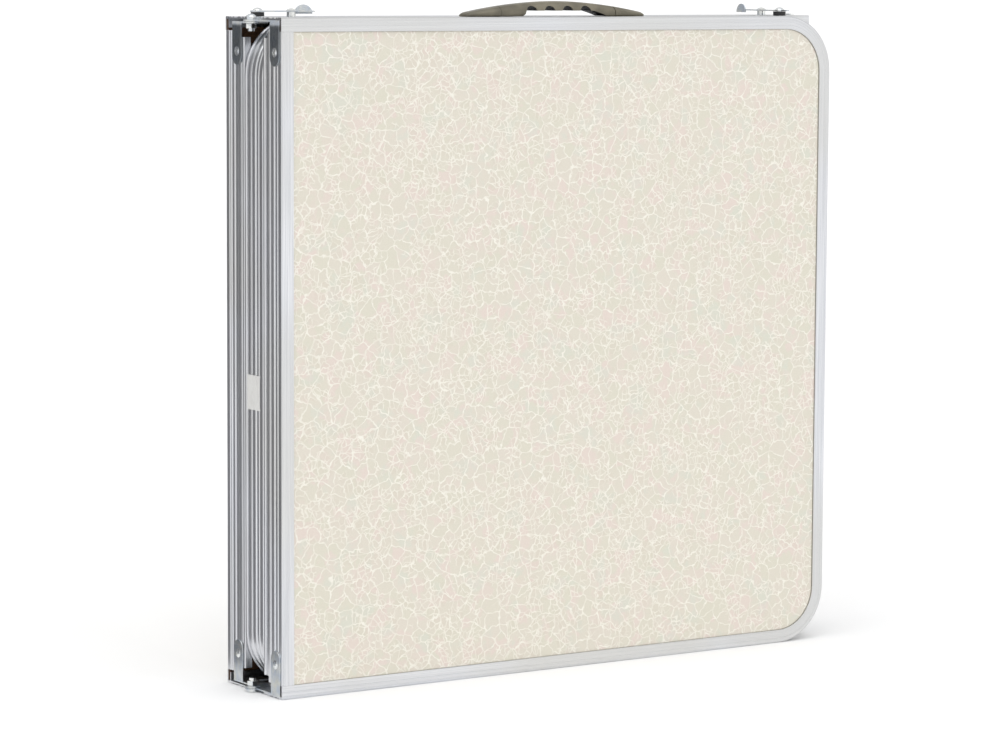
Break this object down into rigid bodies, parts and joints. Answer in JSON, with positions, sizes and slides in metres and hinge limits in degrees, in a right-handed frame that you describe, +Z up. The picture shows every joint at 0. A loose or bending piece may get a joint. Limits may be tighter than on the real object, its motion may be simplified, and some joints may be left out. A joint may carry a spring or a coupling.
{
  "type": "folding table",
  "caption": "Suitcase folding table, folded: square boards in ribbed aluminium rails, corner hinges, latches, fold-down telescopic legs and a carry handle.",
  "frame": {"origin": "middle of the folded case's footprint on the floor", "axes": "+X along the folded case from the front section's hinge to the other hinge, +Y from the front tabletop to the back tabletop, +Z up"},
  "size_m": [0.618, 0.1, 0.614],
  "materials": {
    "rail_aluminium": "satin extruded aluminium",
    "board_laminate": "hardboard with a cream crackle laminate",
    "zinc_steel": "zinc-plated stamped steel",
    "leg_aluminium": "drawn aluminium tube",
    "grey_plastic": "moulded plastic, light grain",
    "black_nylon": "moulded nylon",
    "foot_rubber": "moulded rubber",
    "label_paper": "coated paper label"
  },
  "bodies": {
    "case": {"inner_board": "board_laminate", "inner_rim_rail": "rail_aluminium", "inner_hinge_rail": "rail_aluminium", "middle_board": "board_laminate", "middle_bottom_rail": "rail_aluminium", "middle_top_rail": "rail_aluminium", "middle_right_rail": "rail_aluminium", "middle_left_rail": "rail_aluminium", "middle_left_hinge_brackets": "zinc_steel", "inner_hinge_brackets": "zinc_steel", "middle_right_hinge_brackets": "zinc_steel", "front_hinge_bolts": "zinc_steel", "inner_hinge_pins": "zinc_steel", "hinge_nuts": "zinc_steel", "case_hinge_screws": "zinc_steel", "latch_pivot_rivets": "zinc_steel", "stow_keeper_spacer": "black_nylon", "stow_keeper_screw": "zinc_steel", "inner_leg_tubes": "leg_aluminium", "inner_leg_extensions": "leg_aluminium", "inner_leg_feet": "foot_rubber", "inner_stay_clips": "zinc_steel", "inner_leg_brackets": "zinc_steel", "inner_leg_rivets": "zinc_steel", "inner_leg_crossbar": "leg_aluminium", "inner_stay_links": "zinc_steel", "middle_leg_tubes": "leg_aluminium", "middle_leg_extensions": "leg_aluminium", "middle_leg_feet": "foot_rubber", "middle_stay_clips": "zinc_steel", "middle_leg_brackets": "zinc_steel", "middle_leg_rivets": "zinc_steel", "middle_leg_crossbar": "leg_aluminium", "middle_stay_links": "zinc_steel", "case_snap_buttons": "zinc_steel", "blank_label": "label_paper"},
    "front_section": {"front_board": "board_laminate", "front_rim_rail": "rail_aluminium", "front_hinge_rail": "rail_aluminium", "front_hinge_brackets": "zinc_steel", "front_hinge_screws": "zinc_steel", "case_keeper_spacer": "black_nylon", "case_keeper_screw": "zinc_steel", "handle_left_cap": "grey_plastic", "handle_right_cap": "grey_plastic", "handle_screws": "zinc_steel", "front_leg_brackets": "zinc_steel", "front_leg_rivets": "zinc_steel"},
    "front_legs": {"front_leg_tubes": "leg_aluminium", "front_leg_crossbar": "leg_aluminium", "front_stay_clips": "zinc_steel"},
    "front_leg_extensions": {"front_leg_extensions": "leg_aluminium", "front_leg_feet": "foot_rubber", "front_snap_buttons": "zinc_steel"},
    "front_lower_stays": {"front_lower_stay_links": "zinc_steel"},
    "front_upper_stays": {"front_upper_stay_links": "zinc_steel"},
    "stow_latch": {"stow_latch_lever": "zinc_steel"},
    "case_latch": {"case_latch_lever": "zinc_steel"},
    "carry_grip": {"handle_grip": "grey_plastic"}
  },
  "joints": [
    {"name": "front_hinge", "type": "hinge", "parent": "case", "child": "front_section", "pos_m": [-0.302, 0, 0.3], "axis": [0, 0, -1], "range_deg": [0, 180]},
    {"name": "front_leg_fold", "type": "hinge", "parent": "front_section", "child": "front_legs", "pos_m": [0.2695, -0.0305, 0.3], "axis": [0, 0, -1], "range_deg": [0, 90.1]},
    {"name": "front_leg_slide", "type": "slide", "parent": "front_legs", "child": "front_leg_extensions", "axis": [-1, 0, 0], "range_m": [0, 0.2751]},
    {"name": "lower_stay_fold", "type": "hinge", "parent": "front_section", "child": "front_lower_stays", "pos_m": [0.1495, -0.0305, 0.3], "axis": [0, 0, 1], "range_deg": [0, 45.1]},
    {"name": "upper_stay_fold", "type": "hinge", "parent": "front_legs", "child": "front_upper_stays", "pos_m": [0.1495, -0.0305, 0.3], "axis": [0, 0, -1], "range_deg": [0, 45.1]},
    {"name": "stow_latch_turn", "type": "hinge", "parent": "case", "child": "stow_latch", "pos_m": [-0.2617, 0, 0.6048], "axis": [0, 0, 1], "range_deg": [0, 75]},
    {"name": "case_latch_turn", "type": "hinge", "parent": "case", "child": "case_latch", "pos_m": [0.255, 0, 0.6048], "axis": [0, 0, 1], "range_deg": [0, 75]},
    {"name": "grip_lift", "type": "slide", "parent": "front_section", "child": "carry_grip", "axis": [0, 0, 1], "range_m": [0, 0.006], "stiffness_N_per_m": 300}
  ],
  "couplings": [
    {"joint": "front_leg_fold", "follows": "front_hinge", "ratio": 0.5},
    {"joint": "front_leg_slide", "follows": "front_hinge", "m_per_rad": 0.087535},
    {"joint": "lower_stay_fold", "follows": "front_hinge", "ratio": 0.25},
    {"joint": "upper_stay_fold", "follows": "front_hinge", "ratio": 0.25}
  ]
}
